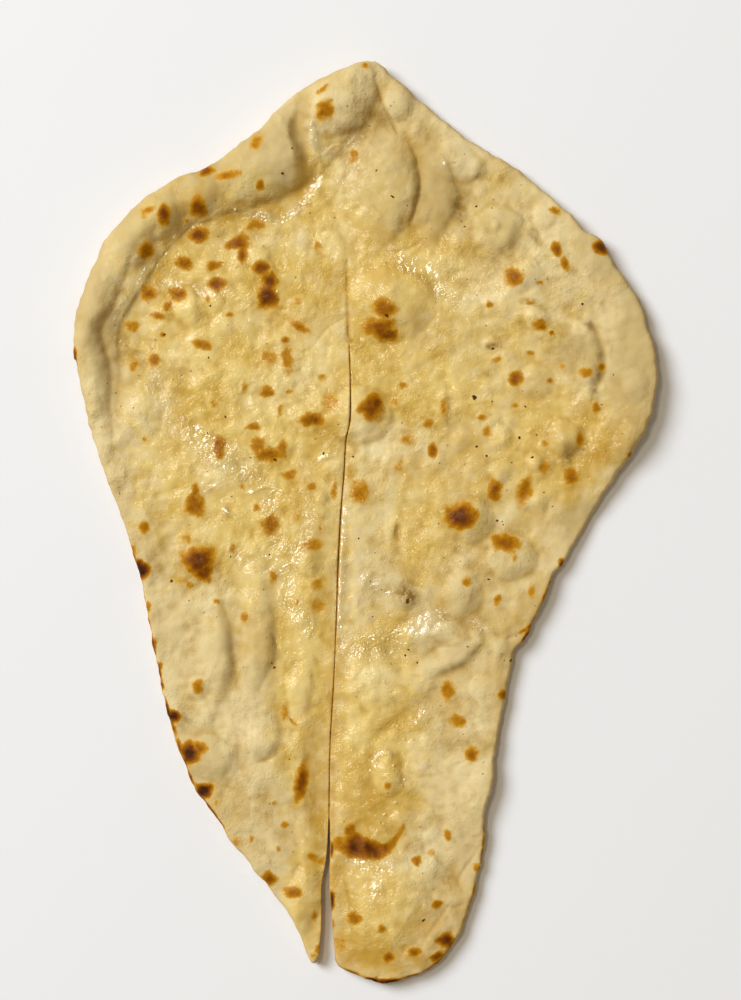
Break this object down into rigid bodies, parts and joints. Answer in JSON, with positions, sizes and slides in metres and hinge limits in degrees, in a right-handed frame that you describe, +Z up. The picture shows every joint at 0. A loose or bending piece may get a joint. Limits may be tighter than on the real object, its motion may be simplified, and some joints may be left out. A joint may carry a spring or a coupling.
{
  "type": "naan flatbread",
  "caption": "Buttered leavened flatbread, drop shaped, with a puffed rim, blisters and browned spots, cut lengthways from its lower end to above the middle.",
  "frame": {"origin": "centre of the bread's plan, at the level of what it lies on", "axes": "+Y along the bread towards its puffed tip, +X towards its right shoulder seen from above, +Z up out of the top crust"},
  "size_m": [0.181, 0.2856, 0.0118],
  "materials": {
    "crust": "baked wheat crust, pale gold with brown spots, half glossy with melted butter"
  },
  "bodies": {
    "root": {"naan": "crust"}
  },
  "joints": []
}
